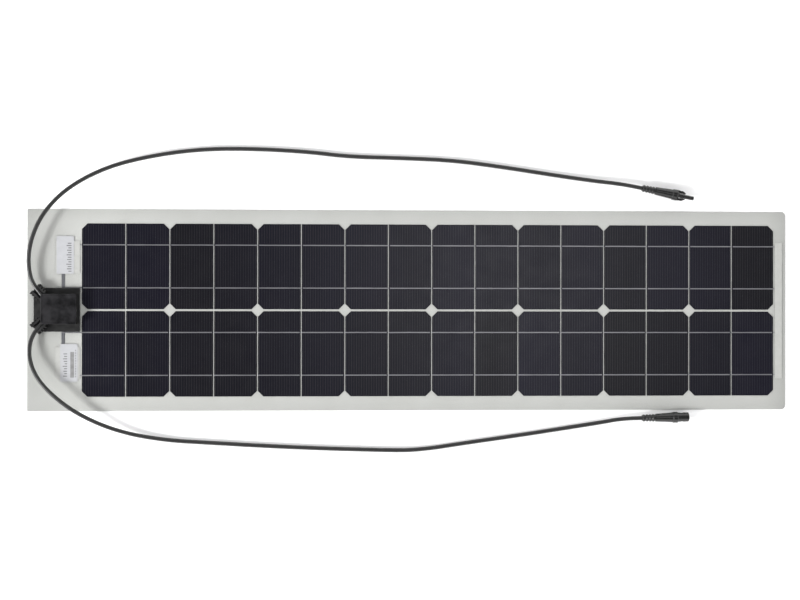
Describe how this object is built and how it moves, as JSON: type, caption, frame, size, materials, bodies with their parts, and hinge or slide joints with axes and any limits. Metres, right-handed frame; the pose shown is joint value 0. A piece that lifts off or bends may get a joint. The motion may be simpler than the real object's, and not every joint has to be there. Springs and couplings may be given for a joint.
{
  "type": "flexible solar sheet",
  "caption": "Thin bendable photovoltaic laminate with two rows of half cells, a bonded junction box at one end and two leads ending in a plug and a socket.",
  "frame": {"origin": "centre of the sheet's flat back, in the plane it rests on", "axes": "+X along the sheet away from the junction box, +Y across it towards the plug lead, +Z out of the front face"},
  "size_m": [1.12, 0.4486, 0.0241],
  "materials": {
    "backsheet": "satin white film",
    "front_film": "clear, lightly textured film over clear encapsulant",
    "silicon": "near-black anti-reflection coating with fine finger lines",
    "ribbon": "tinned copper, dull",
    "white_strip": "matt white strip",
    "label": "smooth printed label, no lettering",
    "black_silicone": "matt silicone",
    "black_housing": "moulded, fine grain",
    "black_lid": "moulded, mottled semi-gloss",
    "brass": "machined",
    "plated_steel": "zinc or tin plated",
    "diode": "moulded epoxy",
    "copper": "stranded tinned copper",
    "cable_jacket": "extruded jacket, satin",
    "black_rubber": "moulded, semi-gloss",
    "black_connector": "moulded, semi-gloss",
    "plug_o_ring": "silicone o-ring"
  },
  "bodies": {
    "section_1": {"backsheet_1": "backsheet", "front_sheet_1": "front_film", "cells_1": "silicon", "ribbons_1": "ribbon", "terminal_ribbons": "ribbon", "cover_strips_left": "white_strip", "labels": "label", "junction_box_pad": "black_silicone", "junction_box_base": "black_housing", "lid_gasket": "black_silicone", "terminal_blocks": "brass", "terminal_screws": "plated_steel", "bypass_diode": "diode", "cable_seals": "black_silicone", "cable_clamps": "black_housing", "clamp_screws": "plated_steel", "cable_cores": "copper", "cable_positive": "cable_jacket", "cable_negative": "cable_jacket", "plug_tail": "black_rubber", "plug_body": "black_connector", "plug_insert": "black_connector", "plug_contact": "plated_steel", "plug_seal": "plug_o_ring", "socket_tail": "black_rubber", "socket_body": "black_connector", "socket_contact": "plated_steel"},
    "section_2": {"backsheet_2": "backsheet", "front_sheet_2": "front_film", "cells_2": "silicon", "ribbons_2": "ribbon"},
    "section_3": {"backsheet_3": "backsheet", "front_sheet_3": "front_film", "cells_3": "silicon", "ribbons_3": "ribbon"},
    "section_4": {"backsheet_4": "backsheet", "front_sheet_4": "front_film", "cells_4": "silicon", "ribbons_4": "ribbon"},
    "section_5": {"backsheet_5": "backsheet", "front_sheet_5": "front_film", "cells_5": "silicon", "ribbons_5": "ribbon"},
    "section_6": {"backsheet_6": "backsheet", "front_sheet_6": "front_film", "cells_6": "silicon", "ribbons_6": "ribbon"},
    "section_7": {"backsheet_7": "backsheet", "front_sheet_7": "front_film", "cells_7": "silicon", "ribbons_7": "ribbon"},
    "section_8": {"backsheet_8": "backsheet", "front_sheet_8": "front_film", "cells_8": "silicon", "ribbons_8": "ribbon", "cross_ribbon": "ribbon", "cover_strip_right": "white_strip"},
    "lid": {"junction_box_lid": "black_lid"}
  },
  "joints": [
    {"name": "flex_1", "type": "hinge", "parent": "section_1", "child": "section_2", "pos_m": [-0.35375, 0, 0.00105], "axis": [0, 1, 0], "range_deg": [-4.3, 4.3], "stiffness_Nm_per_rad": 4},
    {"name": "flex_2", "type": "hinge", "parent": "section_2", "child": "section_3", "pos_m": [-0.22575, 0, 0.00105], "axis": [0, 1, 0], "range_deg": [-4.3, 4.3], "stiffness_Nm_per_rad": 4},
    {"name": "flex_3", "type": "hinge", "parent": "section_3", "child": "section_4", "pos_m": [-0.09775, 0, 0.00105], "axis": [0, 1, 0], "range_deg": [-4.3, 4.3], "stiffness_Nm_per_rad": 4},
    {"name": "flex_4", "type": "hinge", "parent": "section_4", "child": "section_5", "pos_m": [0.03025, 0, 0.00105], "axis": [0, 1, 0], "range_deg": [-4.3, 4.3], "stiffness_Nm_per_rad": 4},
    {"name": "flex_5", "type": "hinge", "parent": "section_5", "child": "section_6", "pos_m": [0.15825, 0, 0.00105], "axis": [0, 1, 0], "range_deg": [-4.3, 4.3], "stiffness_Nm_per_rad": 4},
    {"name": "flex_6", "type": "hinge", "parent": "section_6", "child": "section_7", "pos_m": [0.28625, 0, 0.00105], "axis": [0, 1, 0], "range_deg": [-4.3, 4.3], "stiffness_Nm_per_rad": 4},
    {"name": "flex_7", "type": "hinge", "parent": "section_7", "child": "section_8", "pos_m": [0.41425, 0, 0.00105], "axis": [0, 1, 0], "range_deg": [-4.3, 4.3], "stiffness_Nm_per_rad": 4},
    {"name": "lid_lift", "type": "slide", "parent": "section_1", "child": "lid", "axis": [0, 0, 1], "range_m": [0, 0.025]}
  ]
}
